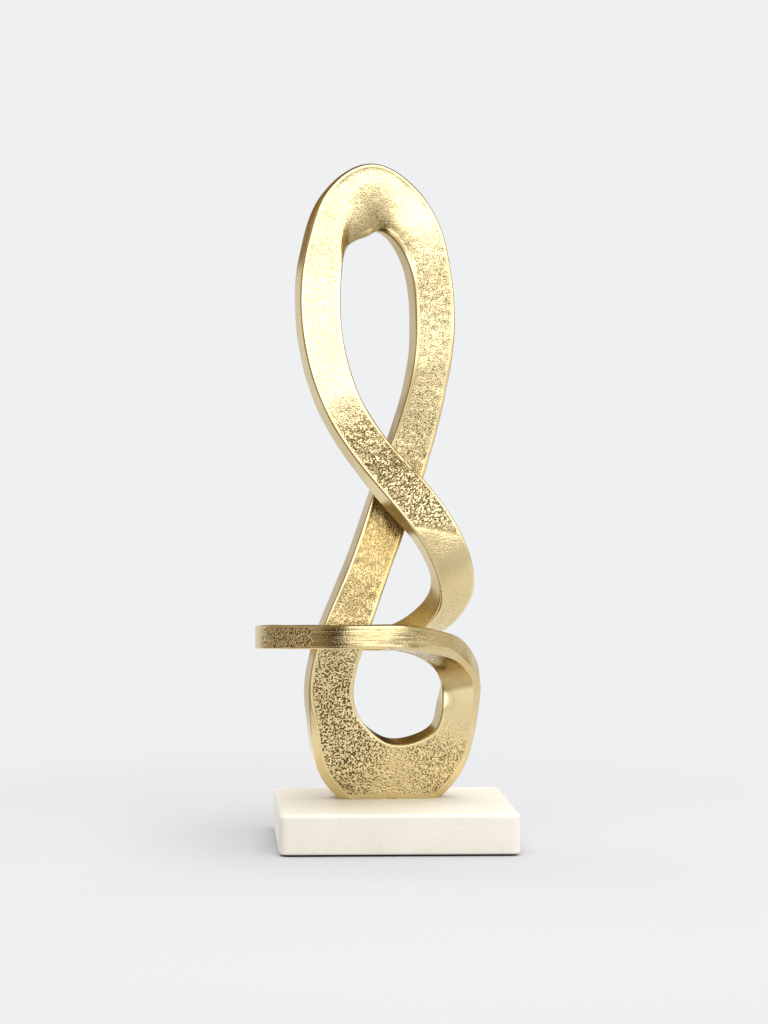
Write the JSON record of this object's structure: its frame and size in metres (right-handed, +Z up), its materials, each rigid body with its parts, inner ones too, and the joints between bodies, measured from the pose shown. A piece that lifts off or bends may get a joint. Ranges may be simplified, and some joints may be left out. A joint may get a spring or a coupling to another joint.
{
  "type": "metal knot sculpture",
  "caption": "Free-standing sculpture: one cast ribbon of pale gold metal looped into an open knot with a level ring, bolted to a marble slab.",
  "frame": {"origin": "middle of the underside of the felt pad, where the sculpture rests", "axes": "+Z up along the sculpture's height; +X to the right and -Y towards a viewer who faces its front, across the slab's longer side"},
  "size_m": [0.1315, 0.1009, 0.3456],
  "materials": {
    "gold_casting": "sand-cast aluminium with a pale gold finish, grained on the wide faces and brushed on the edges",
    "marble": "honed cream-white marble",
    "felt": "black felt",
    "zinc_steel": "zinc-plated"
  },
  "bodies": {
    "root": {"knot_casting": "gold_casting", "marble_base": "marble", "felt_pad": "felt", "left_stud": "zinc_steel", "left_washer": "zinc_steel", "left_nut": "zinc_steel", "right_stud": "zinc_steel", "right_washer": "zinc_steel", "right_nut": "zinc_steel"}
  },
  "joints": []
}
